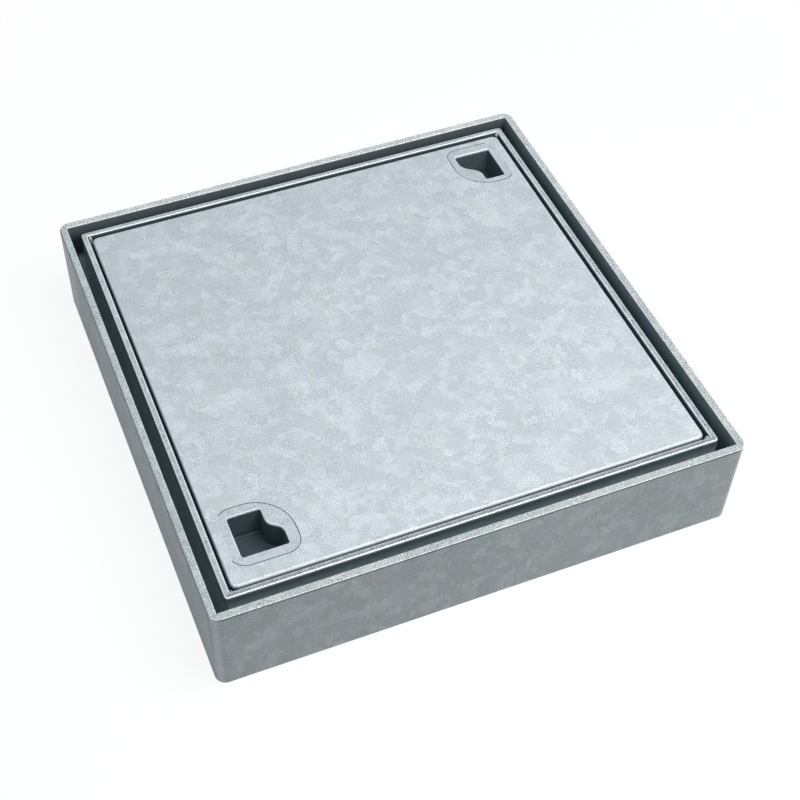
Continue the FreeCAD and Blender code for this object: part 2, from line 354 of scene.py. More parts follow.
@dataclass(frozen=True)
class Crystals:
    """The crystals that zinc cools into: how large they are, and what sets each one apart.

    The small crystals and the warp, which leaves none regular, are shares of a large one's size.
    """

    size: float
    contrast: float
    streak_contrast: float
    tilt: float
    stretch: float = 1.0
    plain: float = 0.0
    broken: float = 0.4
    small: float = 0.45
    warp_size: float = 1.1
    warp_reach: float = 1.6
    warp_detail: float = 4.0
    streak: float = 1.3
    streak_shape: tuple[float, float, float] = (1.0, 0.6, 0.18)
    roughness: float = 0.6

    def warped(self, graph: Graph) -> NodeSocket:
        """Squeeze the position, so that crystals are longer upright, and warp it for odd shapes.

        Args:
            graph: The material's nodes.

        Returns:
            The position to look the crystals up at.
        """
        squeezed = graph.vector("MULTIPLY", graph.place(), (1.0, 1.0, 1.0 / self.stretch))
        warp = graph.noise(self.size * self.warp_size, self.warp_detail, self.roughness, squeezed,
                           output="Color")
        return graph.nudged(squeezed, warp, self.size * self.warp_reach * MM)

    def faces(self, graph: Graph) -> NodeSocket:
        """A colour, random for each crystal: large crystals are broken up by smaller ones."""
        sizes, place = (self.size, self.size * self.small), self.warped(graph)
        return graph.mix(self.broken, *(graph.cells(size, place) for size in sizes))

    def tone(self, graph: Graph, faces: NodeSocket) -> NodeSocket:
        """The tone of the crystals about one half: some are plain, the others stand out pale."""
        half = self.plain / 2.0
        return graph.ramp(graph.channel(faces, "Red"), self.plain, least=half, most=1.0 + half)

    def streaks(self, graph: Graph, faces: NodeSocket) -> NodeSocket:
        """The fine marks, about one half, that a crystal's growth leaves in its own direction."""
        turned = graph.take("VectorRotate", 0, {"rotation_type": "EULER_XYZ"}, {
            "Vector": graph.place(), "Rotation": graph.scaled(faces, math.tau)})
        return graph.noise(self.streak, roughness=self.roughness,
                           place=graph.vector("MULTIPLY", turned, self.streak_shape))


@dataclass(frozen=True)
class Grain:
    """The fine specks of the zinc's skin, which come and go in patches."""

    size: float
    contrast: float
    depth: float
    patch: float = 16.0
    patchiness: float = 0.65
    patch_edge: tuple[float, float] = (0.42, 0.62)
    top_gain: float = 0.0
    roughness: float = 0.7

    def specks(self, graph: Graph) -> NodeSocket:
        """Add the specks, stronger in patches, and more so on faces that look up.

        Args:
            graph: The material's nodes.

        Returns:
            A value about one.
        """
        centred = graph.math(
            "SUBTRACT", graph.noise(self.size, detail=1.0, roughness=self.roughness), 0.5)
        strength = graph.ramp(
            graph.noise(self.patch), *self.patch_edge,
            self.contrast * (1.0 - self.patchiness), self.contrast * (1.0 + self.patchiness))
        gain = graph.math("MULTIPLY_ADD", graph.facing_up(*LEVEL), self.top_gain, 1.0)
        return graph.math("MULTIPLY_ADD", centred, graph.product(strength, gain), 1.0)


@dataclass(frozen=True)
class GalvanisedSteel:
    """Mild steel dipped in molten zinc, which cools to a skin of small irregular crystals.

    The clouds are measured in crystals, and the skin's relief in specks. The painted shadow line and
    the painted corner highlight's ridge have one mark where they start and one where they are full.
    """

    name: str
    pale: str
    dull: str
    # The colour of the painted highlight on rounded edges and upright corners.
    edge: str
    crystals: Crystals
    grain: Grain
    cloud_contrast: float
    metallic: float
    edge_metallic: float
    roughness: float
    # Zones of painted shade and painted light, laid over the colour in turn.
    painted_zones: tuple[PaintedLightZone, ...]
    warm: str = "#EDF4E9"
    cool: str = "#EAF0F4"
    rose: str = "#EEF0F1"
    tint: float = 0.4
    warming: tuple[float, float] = (0.3, 0.7)
    reddening: tuple[float, float] = (0.45, 0.75)
    clouds: float = 5.0
    skin: float = 1.3
    # How much lighter the tops grow from front to back.
    back_lightening: float = 0.0
    roughness_spread: float = 0.05
    gloss: float = 0.25
    # How much of the painted highlight shows on rounded top edges.
    highlight_gain: float = 0.8
    # The painted highlight along upright corners: its strength, ridge and spots.
    corner_highlight_gain: float = 0.0
    corner_ridge: tuple[float, float] = (0.1, 0.68)
    corner_spots: tuple[float, float] = (0.75, 1.0)
    # A painted shadow line under the rim: its strength, height, width, inset and colour.
    shadow_line_gain: float = 0.0
    shadow_line_height: float = 78.95
    shadow_line_width: tuple[float, float] = (1.0, 0.4)
    shadow_line_inset: tuple[float, float] = (1.3, 0.5)
    shadow_line_colour: str = "#353E42"
    seam_width: float = 0.0
    seam_colour: str = "#5C666B"
    seam_spots: tuple[float, float] = (0.0, 0.8)
    spot: float = 2.5
    spot_edge: tuple[float, float] = (0.35, 0.6)

    def build(self) -> Material:
        """Make the material.

        Returns:
            The material, named for its metal and its process.
        """
        material, graph, shader = new_material(self.name)
        faces = self.crystals.faces(graph)
        connect(graph.tree, shader, {
            "Base Color": self.colour(graph, faces),
            "Roughness": graph.ramp(
                graph.channel(faces, "Blue"), least=self.roughness - self.roughness_spread,
                most=self.roughness + self.roughness_spread),
            "Normal": self.relief(graph, faces),
            "Metallic": graph.ramp(
                self.rounded(graph), least=self.metallic, most=self.edge_metallic),
            "Specular IOR Level": self.gloss})
        return material

    def lightness(self, graph: Graph, faces: NodeSocket) -> NodeSocket:
        """Add up crystals, streaks, slow clouds and a tone that grows lighter towards the back on the
        tops.

        Args:
            graph: The material's nodes.
            faces: The random colour of each crystal.

        Returns:
            A value from dull, zero, to pale, one.
        """
        slope = graph.product(
            graph.axis(graph.place(), "Y"), self.back_lightening / (CAD_BOX[1] - CAD_BOX[0]).y)
        total = graph.math("MULTIPLY_ADD", slope, graph.facing_up(*LEVEL), 0.5)
        for source, weight in (
                (self.crystals.tone(graph, faces), self.crystals.contrast),
                (self.crystals.streaks(graph, faces), self.crystals.streak_contrast),
                (graph.noise(self.crystals.size * self.clouds), self.cloud_contrast)):
            total = graph.math("MULTIPLY_ADD", graph.math("SUBTRACT", source, 0.5), weight, total)
        return total

    def hue(self, graph: Graph, faces: NodeSocket) -> NodeSocket:
        """The faint hue of each crystal, between three tints, to multiply the metal's by."""
        warmth, blush = (graph.ramp(graph.channel(faces, name), *stretch) for name, stretch in (
            ("Green", self.warming), ("Blue", self.reddening)))
        return graph.mix(blush, graph.mix(warmth, self.cool, self.warm), self.rose)

    def colour(self, graph: Graph, faces: NodeSocket) -> NodeSocket:
        """Add the zinc's colour, with painted highlights on edges and painted shade and light in
        zones.

        Args:
            graph: The material's nodes.
            faces: The random colour of each crystal.

        Returns:
            The base colour.
        """
        metal = graph.mix(self.lightness(graph, faces), self.dull, self.pale)
        # Paint a highlight on the rounded top edges.
        share = graph.product(self.rounded(graph), self.highlight_gain)
        highlighted = graph.mix(share, metal, self.edge)
        tinted = graph.mix(self.tint, highlighted, self.hue(graph, faces), "MULTIPLY")
        colour = graph.scaled(tinted, self.grain.specks(graph))
        if self.seam_width:
            colour = graph.mix(self.seam(graph), colour, self.seam_colour)
        # Lay the zones of painted shade and painted light.
        for painted_zone in self.painted_zones:
            colour = painted_zone.over(graph, colour)
        # Lay the painted shadow line under the rim and the painted highlight along upright corners.
        for gain, mask, tone in ((self.shadow_line_gain, self.painted_shadow_line, self.shadow_line_colour),
                                 (self.corner_highlight_gain, self.corner, self.edge)):
            if gain:
                colour = graph.mix(graph.product(mask(graph), gain), colour, tone)
        return colour

    def painted_shadow_line(self, graph: Graph) -> NodeSocket:
        """A painted shadow line under the rim's rounded edge: one along it, else zero."""
        off = graph.distance(graph.axis(graph.place(), "Z"), self.shadow_line_height * MM)
        return graph.product(graph.within(off, *self.shadow_line_width),
                             graph.within(graph.ring_inset(), *self.shadow_line_inset, ease="LINEAR"))

    def corner(self, graph: Graph) -> NodeSocket:
        """Painted highlight along rounded upright corners: highest in the middle, broken into spots.
        """
        axes = (graph.axis(graph.vector("ABSOLUTE", graph.normal()), name) for name in "XY")
        return graph.product(
            graph.ramp(graph.math("MINIMUM", *axes), *self.corner_ridge, ease=SMOOTH),
            self.spots(graph, *self.corner_spots))

    def seam(self, graph: Graph) -> NodeSocket:
        """The mitre seams of the bars' tops, which zinc has closed in places."""
        off = graph.distance(graph.side_inset(0), graph.side_inset(1))
        return graph.product(graph.within(off, self.seam_width, 0.0),
                             self.spots(graph, *self.seam_spots), graph.facing_up(*GROUND_TOP))

    def spots(self, graph: Graph, least: float, most: float) -> NodeSocket:
        """Spots that break up a seam or a ridge, from the value in the gaps to that between them."""
        return graph.ramp(graph.noise(self.spot, detail=1.0), *self.spot_edge, least, most)

    def rounded(self, graph: Graph) -> NodeSocket:
        """Rounded top edges, painted bright and more metallic: one there, zero on flat and upright
        faces.
        """
        return graph.product(graph.facing_up(*BELOW_FLAT), graph.facing_up(*ABOVE_UPRIGHT))

    def relief(self, graph: Graph, faces: NodeSocket) -> NodeSocket:
        """The normal, with the tilt of each crystal and the fine grain of the skin."""
        tilted = graph.nudged(graph.normal(), faces, self.crystals.tilt)
        return graph.bump(graph.noise(self.grain.size * self.skin), self.grain.depth,
                          graph.vector("NORMALIZE", tilted))


@dataclass(frozen=True)
class MattFinish:
    """A dark matt finish: its tone comes and goes in clouds, and its skin is a little rough."""

    name: str
    colour: str
    roughness: float
    cloud: float
    detail: float
    tone: tuple[float, float]
    depth: float

    def skin(self, graph: Graph) -> NodeSocket:
        """The height of the skin, which follows the clouds."""
        return graph.noise(self.cloud, self.detail)

    def build(self) -> Material:
        """Make the material.

        Returns:
            The material.
        """
        material, graph, shader = new_material(self.name)
        tone = graph.ramp(graph.noise(self.cloud, self.detail), 0.0, 1.0, *self.tone)
        connect(graph.tree, shader, {
            "Base Color": graph.scaled(linear(self.colour)[:3], tone),
            "Normal": graph.bump(self.skin(graph), self.depth, graph.normal()),
            "Roughness": self.roughness})
        return material


@dataclass(frozen=True)
class ExtrudedRubber(MattFinish):
    """Rubber with faint lines along the die and a pale bloom."""

    die_line: float = 0.8

    def skin(self, graph: Graph) -> NodeSocket:
        """The height of the lines along the die."""
        inputs = {"W": graph.ring_inset(), "Scale": per_metre(self.die_line), "Detail": 2.0}
        return graph.take("TexNoise", "Fac", {"noise_dimensions": "1D"}, inputs)


def box_of(node: str, side: Side = Side.FRONT) -> tuple[Vector, Vector]:
    """The corners of a CAD node, turned as if its side were the front.

    Args:
        node: The node.
        side: The side that it belongs to.

    Returns:
        The lowest and the highest corner, in millimetres.
    """
    corners = [side.turn.transposed() @ (corner / MM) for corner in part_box(node)]
    return Vector(tuple(map(min, *corners))), Vector(tuple(map(max, *corners)))


def band_faces(low: int, high: int, ring: int) -> list[list[int]]:
    """The faces between two closed rings of points, each given by its first point's number."""
    return [[low + place, low + (place + 1) % ring, high + (place + 1) % ring, high + place]
            for place in range(ring)]


def add_object(name: str, data: ID) -> Object:
    """Add an object to the scene.

    Args:
        name: Its name.
        data: Its mesh, lamp or camera.

    Returns:
        The object.
    """
    made = bpy.data.objects.new(name, data)
    bpy.context.scene.collection.objects.link(made)
    return made


def dress(nodes: Iterable[str], material: Material) -> None:
    """Give CAD nodes a material.

    Args:
        nodes: The nodes' names.
        material: What their slots get.
    """
    for name in nodes:
        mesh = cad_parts[name].data
        if not mesh.materials:
            mesh.materials.append(material)
        for number in range(len(mesh.materials)):
            mesh.materials[number] = material
        LOG.info("dressed %s in %s", name, material.name)


def build_each(metals: Mapping[Side, GalvanisedSteel]) -> dict[Side, Material]:
    """Make the materials of four bars, and one that bars share only once.

    Args:
        metals: The finish of each side's bar.

    Returns:
        The material of each side's bar.
    """
    made: dict[str, Material] = {}
    for metal in metals.values():
        if metal.name not in made:
            made[metal.name] = metal.build()
    return {side: made[metal.name] for side, metal in metals.items()}


def add_piece(name: str, corners: Sequence[Vector], faces: Sequence[Sequence[int]],
              material: Material, slot: Slot) -> None:
    """Make a piece from a mesh and let it ride on the cover's body.

    Args:
        name: The piece's name.
        corners: The mesh's points, in millimetres.
        faces: The mesh's faces, as numbers of points.
        material: Its finish.
        slot: The record's slot that the finish belongs to; not used.
    """
    mesh = bpy.data.meshes.new(name)
    mesh.from_pydata([corner * MM for corner in corners], [], faces)
    mesh.materials.append(material)
    mesh.shade_smooth()
    piece = add_object(name, mesh)
    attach(piece, BODY)
    LOG.info("added %s with %d faces", name, len(faces))


@dataclass
class WeldBead:
    """A fillet weld in an inside corner, with the ripples that each pass of the arc leaves.

    The ripples' depth, the bulge of the face and the size of a bead's ends are shares of the leg.
    """

    leg: float = 3.0
    ripple: float = 1.6
    ripple_depth: float = 0.07
    step: float = 0.5
    sunk: float = 0.2
    bulge: float = 0.13
    end_size: float = 0.1
    facets: int = 6
    fewest_steps: int = 4
    seed: int = 11
    chance: random.Random = field(init=False)

    def __post_init__(self) -> None:
        """Start the seeded chance that makes each bead uneven."""
        self.chance = random.Random(self.seed)

    def section(self, along: float, length: float, first: Vector, second: Vector,
                phase: float) -> list[Vector]:
        """One cross-section of the bead, about the line in which the two faces meet.

        Args:
            along: The distance from the bead's start.
            length: The bead's length.
            first: The direction away from the corner on one face.
            second: The direction away from the corner on the other face.
            phase: Where the ripples start.

        Returns:
            The corner's own point, then the points of the bead's face.
        """
        taper = min(1.0, math.sqrt(max(0.0, min(along, length - along)) / self.leg)
                    + self.end_size)
        wave = abs(math.sin(math.pi * along / self.ripple + phase))
        size = self.leg * taper * (1.0 - self.ripple_depth * wave)
        points = [-(first + second) * self.sunk]
        for number in range(self.facets + 1):
            angle = math.pi / 2.0 * number / self.facets
            flat = 1.0 / (math.cos(angle) + math.sin(angle))
            reach = size * (flat + self.bulge * math.sin(2.0 * angle))
            points.append(first * math.cos(angle) * reach + second * math.sin(angle) * reach)
        return points

    def mesh(self, beads: Iterable[Bead]) -> tuple[list[Vector], list[list[int]]]:
        """The mesh of several beads.

        Args:
            beads: The beads.

        Returns:
            Points in millimetres, and faces.
        """
        corners: list[Vector] = []
        faces: list[list[int]] = []
        ring = self.facets + 2
        for start, end, first, second in beads:
            length = (end - start).length
            count = max(self.fewest_steps, round(length / self.step))
            phase = self.chance.uniform(0.0, math.pi)
            base = len(corners)
            for number in range(count + 1):
                along = length * number / count
                centre = start.lerp(end, along / length)
                corners += [centre + point
                            for point in self.section(along, length, first, second, phase)]
            bead_faces = [face for number in range(count) for face in band_faces(
                base + number * ring, base + (number + 1) * ring, ring)]
            bead_faces.append(list(range(base, base + ring))[::-1])
            bead_faces.append(list(range(base + count * ring, base + (count + 1) * ring)))
            handed = (end - start).cross(first).dot(second) > 0.0
            faces += [face[::-1] for face in bead_faces] if handed else bead_faces
        return corners, faces


@dataclass(frozen=True)
class StitchRow:
    """Short welds along every side, in the corner of an upright face and a level one."""

    places: tuple[float, ...]
    length: float
    below: bool = False

    def beads(self, upright: str, level: str) -> Iterator[Bead]:
        """The row's beads.

        Args:
            upright: The front node whose inner face the welds lie against.
            level: The front node whose top they lie on, or whose underside they hang from.

        Yields:
            Each bead.
        """
        face = box_of(upright)[1].y
        height = box_of(level)[0 if self.below else 1].z
        for side in Side:
            for place in self.places:
                ends = (Vector((place + shift * self.length / 2.0, face, height))
                        for shift in (-1.0, 1.0))
                start, end = (side.turn @ point for point in ends)
                yield start, end, side.turn @ INWARD, -UP if self.below else UP


@dataclass
class Surround:
    """The outer frame: four mitred walls and the flange under them."""

    metals: Mapping[Side, GalvanisedSteel]
    weld: WeldBead
    slot_floor: StitchRow = StitchRow((-165.0, -55.0, 55.0, 165.0), length=50.0)

    def build(self) -> None:
        """Dress the walls and the flange, and add the welds between them in the slot's floor."""
        finishes = build_each(self.metals)
        for side, finish in finishes.items():
            dress([f"surround_{side.word}", f"flange_{side.word}"], finish)
        beads = self.slot_floor.beads("surround_front", "flange_front")
        add_piece("slot_floor_welds", *self.weld.mesh(beads), finishes[Side.FRONT],
                  Slot.OUTER_FRAME)


@dataclass(frozen=True)
class CornerWeld:
    """An upright weld in an inside corner of the lip, at the end of its side."""

    side: Side
    leg: float
    drop: float
    length: float = 16.0

    def bead(self, wall: str) -> Bead:
        """The bead.

        Args:
            wall: The front node of the lip's walls.

        Returns:
            The bead.
        """
        low, high = box_of(wall)
        thickness = high.y - low.y
        turn = self.side.turn
        top = turn @ Vector((high.x - thickness, low.y + thickness, high.z - self.drop))
        return top - UP * self.length, top, turn @ -RIGHTWARD, turn @ INWARD


@dataclass
class SeatFrame:
    """The seat: upright walls whose tops are the lip, the ledge, and the webs below it.

    The welds of a web leave gaps at their ends: along the ledge, at the wall and the inner end, and
    along the wall, at the flange and the ledge. On the flange they run between two distances from
    the wall.
    """

    metals: Mapping[Side, GalvanisedSteel]
    weld: WeldBead
    foot: StitchRow = StitchRow((-150.0, -45.0, 45.0, 150.0), length=30.0)
    under_ledge: StitchRow = StitchRow(
        (-150.0, -60.0, 0.0, 60.0, 150.0), length=25.0, below=True)
    corner_welds: tuple[CornerWeld, ...] = (
        CornerWeld(Side.FRONT, leg=3.4, drop=0.15), CornerWeld(Side.RIGHT, leg=2.6, drop=0.3),
        CornerWeld(Side.BACK, leg=2.6, drop=0.3), CornerWeld(Side.LEFT, leg=2.6, drop=1.0))
    ledge_gaps: tuple[float, float] = (3.0, 2.0)
    wall_gaps: tuple[float, float] = (9.0, 3.0)
    flange_run: tuple[float, float] = (7.0, 15.0)

    def webs(self, side: str = "") -> list[str]:
        """The webs of one side, or of all sides."""
        return sorted(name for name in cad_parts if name.startswith(f"seat_web_{side}"))

    def web_beads(self) -> Iterator[Bead]:
        """The welds on both faces of each web, along the ledge, the seat wall and the flange.

        Yields:
            Each bead.
        """
        for name in self.webs():
            side = Side[name.split("_")[2].upper()]
            low, high = box_of(name, side)
            for face, outward in ((low.x, -RIGHTWARD), (high.x, RIGHTWARD)):
                for start, end, against in (
                        ((low.y + self.ledge_gaps[0], high.z),
                         (high.y - self.ledge_gaps[1], high.z), -UP),
                        ((low.y, low.z + self.wall_gaps[0]),
                         (low.y, high.z - self.wall_gaps[1]), side.turn @ INWARD),
                        ((low.y + self.flange_run[0], low.z),
                         (low.y + self.flange_run[1], low.z), UP)):
                    yield (side.turn @ Vector((face, *start)), side.turn @ Vector((face, *end)),
                           side.turn @ outward, against)

    def build(self) -> None:
        """Dress the seat and add its welds."""
        finishes = build_each(self.metals)
        for side, finish in finishes.items():
            walls = [f"seat_wall_{side.word}", f"seat_ledge_{side.word}"]
            dress(walls + self.webs(side.word), finish)
        for corner in self.corner_welds:
            bead = WeldBead(leg=corner.leg, seed=self.weld.seed)
            add_piece(f"lip_weld_{corner.side.word}", *bead.mesh([corner.bead("seat_wall_front")]),
                      finishes[corner.side], Slot.SEAT_FRAME)
        for name, beads in (
                ("web_welds", self.web_beads()),
                ("seat_foot_welds", self.foot.beads("seat_wall_front", "flange_front")),
                ("ledge_welds", self.under_ledge.beads("seat_wall_front", "seat_ledge_front"))):
            add_piece(name, *self.weld.mesh(beads), finishes[Side.FRONT], Slot.SEAT_FRAME)


@dataclass
class Cover:
    """The lift-out cover: the folded sheet and the stiffeners welded under it."""

    metal: GalvanisedSteel
    weld: WeldBead
    stitch_length: float = 25.0
    stitches: int = 5

    @property
    def stiffeners(self) -> list[str]:
        """The stiffeners' nodes."""
        return [f"cover_stiffener_{place}" for place in ("left", "middle", "right")]

    def stitch_beads(self) -> Iterator[Bead]:
        """The stitch welds between each stiffener's sides and the sheet.

        Yields:
            Each bead.
        """
        for name in self.stiffeners:
            low, high = box_of(name)
            pitch = (high.y - low.y) / self.stitches
            for number in range(self.stitches):
                middle = low.y + (number + 0.5) * pitch
                for face, outward in ((low.x, -RIGHTWARD), (high.x, RIGHTWARD)):
                    yield (Vector((face, middle - self.stitch_length / 2.0, high.z)),
                           Vector((face, middle + self.stitch_length / 2.0, high.z)), outward, -UP)

    def build(self) -> None:
        """Dress the cover and add its welds."""
        metal = self.metal.build()
        dress(["cover_pan", *self.stiffeners], metal)
        add_piece("stiffener_welds", *self.weld.mesh(self.stitch_beads()), metal,
                  Slot.COVER_SHEET)


@dataclass(frozen=True)
class PocketSeam:
    """The line between a pocket's flange and the sheet, which zinc has closed on one side.

    It runs anticlockwise round the flange's four corners. An angle is the way out from the flange,
    in degrees, as if the pocket were the front one.
    """

    pocket: Side
    corner_radius: float
    tongue_radius: float
    filled: tuple[float, float]
    lap: float = 2.0
    step: float = 0.6

    def points(self, top: float, start: float, end: float) -> Iterator[tuple[Vector, Vector]]:
        """Follow the edge of the flange.

        Args:
            top: The height of the cover's face.
            start: The angle to start at.
            end: The angle to end at.

        Yields:
            Each point, and the way out from the flange there.
        """
        turn = self.pocket.turn
        low, high = box_of(f"key_pocket_{self.pocket.word}", self.pocket)
        middle, half = (low + high) / 2.0, (high - low) / 2.0
        reach = half.x - self.lap, half.y - self.lap
        for quarter in range(int(start // QUARTER), math.ceil(end / QUARTER)):
            radius = self.tongue_radius if quarter == 0 else self.corner_radius
            across = 1.0 if quarter in (0, 3) else -1.0
            along = 1.0 if quarter in (0, 1) else -1.0
            centre = Vector((middle.x + across * (reach[0] - radius),
                             middle.y + along * (reach[1] - radius), top))
            first, last = max(start, QUARTER * quarter), min(end, QUARTER * (quarter + 1))
            count = math.ceil(math.radians(last - first) * radius / self.step)
            for number in range(count + 1):
                angle = math.radians(first + (last - first) * number / count)
                out = Vector((math.cos(angle), math.sin(angle), 0.0))
                yield turn @ (centre + out * radius), turn @ out

    def strip(self, top: float, section: Sequence[tuple[float, float]], start: float = 0.0,
              end: float = ROUND) -> tuple[list[Vector], list[list[int]]]:
        """The mesh of a strip along the seam, whose open ends dip under the surface.

        Args:
            top: The height of the cover's face.
            section: Points across the strip: outwards from the flange's edge, and above the face.
            start: The angle to start at.
            end: The angle to end at.

        Returns:
            Points in millimetres, and faces.
        """
        rows = list(self.points(top, start, end))
        closed = end - start >= ROUND
        lowest = min(height for _, height in section)
        ends = () if closed else (0, len(rows) - 1)
        corners = [point + out * across + UP * (lowest if number in ends else height)
                   for number, (point, out) in enumerate(rows) for across, height in section]
        ring = len(section)
        faces = [face for row in range(len(rows) if closed else len(rows) - 1)
                 for face in band_faces(row * ring, (row + 1) % len(rows) * ring, ring)]
        return corners, faces


@dataclass
class KeyPockets:
    """The two cast inserts that the lifting keys go into."""

    metal: GalvanisedSteel
    weld: WeldBead
    # The dark matt strip that paints the shadow in the seams' gap.
    ash: MattFinish
    seams: tuple[PocketSeam, ...] = (
        PocketSeam(Side.FRONT, corner_radius=11.5, tongue_radius=30.0, filled=(134.0, 202.0)),
        PocketSeam(Side.BACK, corner_radius=9.0, tongue_radius=27.0, filled=(141.0, 255.0)))
    zinc_section: tuple[tuple[float, float], ...] = (
        (-0.45, -0.15), (-0.45, 0.0), (0.0, 0.024), (0.35, 0.03), (0.7, 0.024), (1.1, 0.0),
        (1.1, -0.15))
    # The painted shadow strip's section, sunk just under the cover's face.
    shadow_strip_section: tuple[tuple[float, float], ...] = (
        (-0.34, -0.2), (-0.34, -0.04), (0.64, -0.04), (0.64, -0.2))
    lap_weld_length: float = 12.0
    lap_weld_leg: float = 1.8

    @property
    def nodes(self) -> list[str]:
        """The two pockets."""
        return ["key_pocket_front", "key_pocket_back"]

    def lap_beads(self) -> Iterator[Bead]:
        """The tack welds under the cover, between the sheet and each side of a pocket's lap.

        Yields:
            Each bead.
        """
        underside = box_of("cover_stiffener_middle")[1].z
        for name in self.nodes:
            low, high = box_of(name)
            middle = (low + high) / 2.0
            for side in Side:
                out = side.turn @ -INWARD
                along = side.turn @ RIGHTWARD * (self.lap_weld_length / 2.0)
                reach = abs((high - low).dot(out)) / 2.0
                centre = Vector((middle.x, middle.y, underside)) + out * reach
                yield centre - along, centre + along, out, -UP

    def build(self) -> None:
        """Dress the pockets, paint their seams' shadow, close part of the seams and add the tack
        welds.
        """
        metal = self.metal.build()
        dress(self.nodes, metal)
        tack = WeldBead(leg=self.lap_weld_leg, seed=self.weld.seed)
        add_piece("pocket_welds", *tack.mesh(self.lap_beads()), metal, Slot.POCKET_CASTING)
        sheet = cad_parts["cover_pan"].data.materials[0]
        ash = self.ash.build()
        top = max(box_of(name)[1].z for name in self.nodes)
        for seam in self.seams:
            add_piece(f"seam_painted_shadow_{seam.pocket.word}", *seam.strip(top, self.shadow_strip_section), ash,
                      Slot.POCKET_CASTING)
            add_piece(f"seam_zinc_{seam.pocket.word}",
                      *seam.strip(top, self.zinc_section, *seam.filled), sheet, Slot.COVER_SHEET)


@dataclass
class Seals:
    """The four strips that the cover rests on."""

    rubber: ExtrudedRubber

    def build(self) -> None:
        """Dress the seals."""
        dress([f"seal_{side.word}" for side in Side], self.rubber.build())


@dataclass(frozen=True)
class Softbox:
    """A square lamp, placed round the cover by its angles; distance and width are in metres."""

    name: str
    azimuth: float
    elevation: float
    distance: float
    width: float
    watts: float

    def build(self, target: Vector) -> None:
        """Add the lamp, aimed at the cover.

        Args:
            target: What it is aimed at, in metres.
        """
        lamp = bpy.data.lights.new(self.name, "AREA")
        lamp.shape = "SQUARE"
        lamp.size = self.width
        lamp.energy = self.watts
        holder = add_object(self.name, lamp)
        away = direction(self.azimuth, self.elevation)
        holder.location = target + away * self.distance
        holder.rotation_euler = away.to_track_quat("Z", "Y").to_euler()
        LOG.info("lamp %s", self.name)


def direction(azimuth: float, elevation: float) -> Vector:
    """The way towards a viewer.

    Args:
        azimuth: Degrees round from the front, positive towards the right.
        elevation: Degrees above the floor.

    Returns:
        A unit vector.
    """
    around, above = math.radians(azimuth), math.radians(elevation)
    return Vector((math.sin(around) * math.cos(above), -math.cos(around) * math.cos(above),
                   math.sin(above)))


@dataclass
class Studio:
    """A plain pale floor under soft lamps, in metres.

    The cover's shadow shows by its share as far out as its core, and fades from there to its reach.
    """

    floor_half_width: float = 20.0
    floor_gap: float = 0.0001
    floor_colour: str = "#B1B4B5"
    floor_level: float = 0.4
    shadow_share: float = 0.25
    shadow_reach: float = 0.9
    shadow_core: float = 0.3
    world_colour: str = "#D2E5FF"
    world_level: float = 0.14
    lamps: tuple[Softbox, ...] = (
        Softbox("softbox_right", azimuth=44.0, elevation=65.0, distance=1.4, width=0.9, watts=16.8),
        Softbox("softbox_above", azimuth=-50.0, elevation=80.0, distance=1.8, width=1.2, watts=7.6))

    def paper(self) -> Material:
        """Make the floor's paper: a white ground that darkens only where the cover shades it.

        A ray that shows the background gets a share of the paper's own light and, added to it, as
        much plain white as makes the two reach white out of the shadow.

        Returns:
            The material.
        """
        paper = bpy.data.materials.new("matt background paper")
        paper.use_nodes = True
        paper.node_tree.nodes.clear()
        graph = Graph(paper.node_tree)
        away = graph.vector("LENGTH", graph.place(), output="Value")
        share = graph.ramp(away, self.shadow_reach, self.shadow_core, most=self.shadow_share,
                           ease=SMOOTH)
        rest = graph.math("SUBTRACT", 1.0, share)
        lacking = graph.math("SUBTRACT", 1.0, graph.product(share, self.floor_level))
        matt = graph.take("BsdfDiffuse", inputs={"Color": self.floor_colour})
        white = graph.take("Emission", inputs={"Strength": graph.math("DIVIDE", lacking, rest)})
        graph.show("OutputMaterial", graph.product(graph.seen_directly(), rest), matt, white)
        return paper

    def floor(self) -> None:
        """Add the floor, which shows as white paper and keeps the cover's shadow."""
        reach, level = self.floor_half_width, -self.floor_gap
        mesh = bpy.data.meshes.new("studio_floor")
        mesh.from_pydata([(-reach, -reach, level), (reach, -reach, level), (reach, reach, level),
                          (-reach, reach, level)], [], [(0, 1, 2, 3)])
        mesh.materials.append(self.paper())
        floor = add_object("studio_floor", mesh)
        floor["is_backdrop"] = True

    def world(self) -> None:
        """Add the surroundings, which show as white and light the cover at a plain level."""
        world = bpy.data.worlds.new("studio")
        world.use_nodes = True
        world.node_tree.nodes.clear()
        graph = Graph(world.node_tree)
        light = graph.take("Background", inputs={
            "Color": self.world_colour, "Strength": self.world_level})
        white = graph.take("Background", inputs={"Color": WHITE})
        graph.show("OutputWorld", graph.seen_directly(), light, white)
        bpy.context.scene.world = world

    def build(self) -> None:
        """Set up the floor, the surroundings and the lamps."""
        self.floor()
        self.world()
        centre = (CAD_BOX[0] + CAD_BOX[1]) / 2.0
        for lamp in self.lamps:
            lamp.build(centre)


